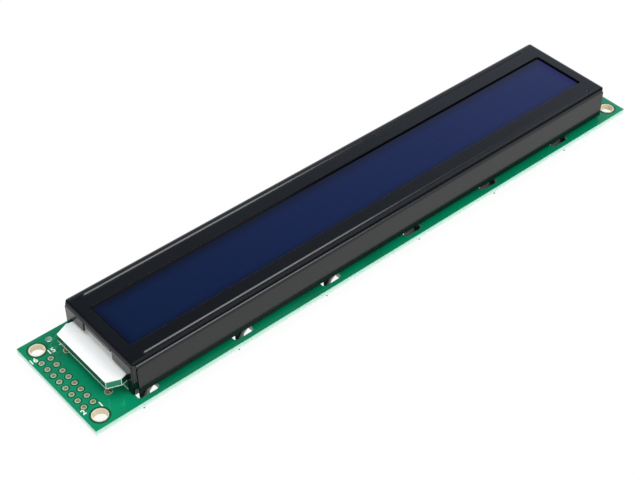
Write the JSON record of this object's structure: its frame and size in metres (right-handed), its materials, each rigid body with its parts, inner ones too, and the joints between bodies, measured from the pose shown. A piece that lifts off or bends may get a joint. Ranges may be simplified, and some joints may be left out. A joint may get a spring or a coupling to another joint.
{
  "type": "character lcd module",
  "caption": "Long two-line character display: folded black bezel over a blue display cell and edge-lit backlight, locked to a narrow green board with a pin header at one end.",
  "frame": {"origin": "under the middle of the board, on the plane that the tips of the twisted lock tabs stand on", "axes": "+X along the board away from the connector end, +Y across it to the far long edge, +Z out of the display's face"},
  "size_m": [0.182, 0.0336, 0.0138],
  "materials": {
    "green_board": "glossy green solder mask over glass-fibre laminate",
    "tinned_copper": "dull tinned copper",
    "black_enamel": "semi-gloss black enamel on folded steel",
    "polarizer_film": "dark blue polarizing film",
    "display_glass": "clear float glass with ground edges",
    "sealing_resin": "cured resin",
    "white_film": "white film",
    "clear_acrylic": "clear acrylic with polished edges",
    "white_moulding": "white moulded plastic",
    "contact_rubber": "grey silicone with black conducting layers",
    "lamp_body": "white package with a pale yellow window",
    "tinned_steel": "tinned wire",
    "solder": "bright solder",
    "black_epoxy": "satin black epoxy",
    "resistor_body": "black glazed chip with tinned ends",
    "capacitor_body": "tan ceramic chip with tinned ends"
  },
  "bodies": {
    "root": {"backlight_frame": "white_moulding", "backlight_pads": "tinned_copper", "backlight_pin_far": "tinned_steel", "backlight_pin_near": "tinned_steel", "bezel": "black_enamel", "capacitor_1": "capacitor_body", "capacitor_2": "capacitor_body", "capacitor_3": "capacitor_body", "capacitor_4": "capacitor_body", "cell_seal": "sealing_resin", "contact_strip_far": "contact_rubber", "contact_strip_near": "contact_rubber", "controller_blob": "black_epoxy", "diffuser_sheet": "white_film", "driver_blob_1": "black_epoxy", "driver_blob_2": "black_epoxy", "driver_blob_3": "black_epoxy", "driver_blob_4": "black_epoxy", "end_cover_film": "white_film", "front_glass": "display_glass", "front_polarizer": "polarizer_film", "header_pads": "tinned_copper", "lamp_1": "lamp_body", "lamp_2": "lamp_body", "lamp_3": "lamp_body", "lamp_4": "lamp_body", "lamp_board": "green_board", "light_guide": "clear_acrylic", "main_board": "green_board", "mounting_rings": "tinned_copper", "rear_glass": "display_glass", "rear_polarizer": "polarizer_film", "reflector_film": "white_film", "resistor_1": "resistor_body", "resistor_2": "resistor_body", "resistor_3": "resistor_body", "resistor_4": "resistor_body", "resistor_5": "resistor_body", "solder_joint_far": "solder", "solder_joint_near": "solder"}
  },
  "joints": []
}
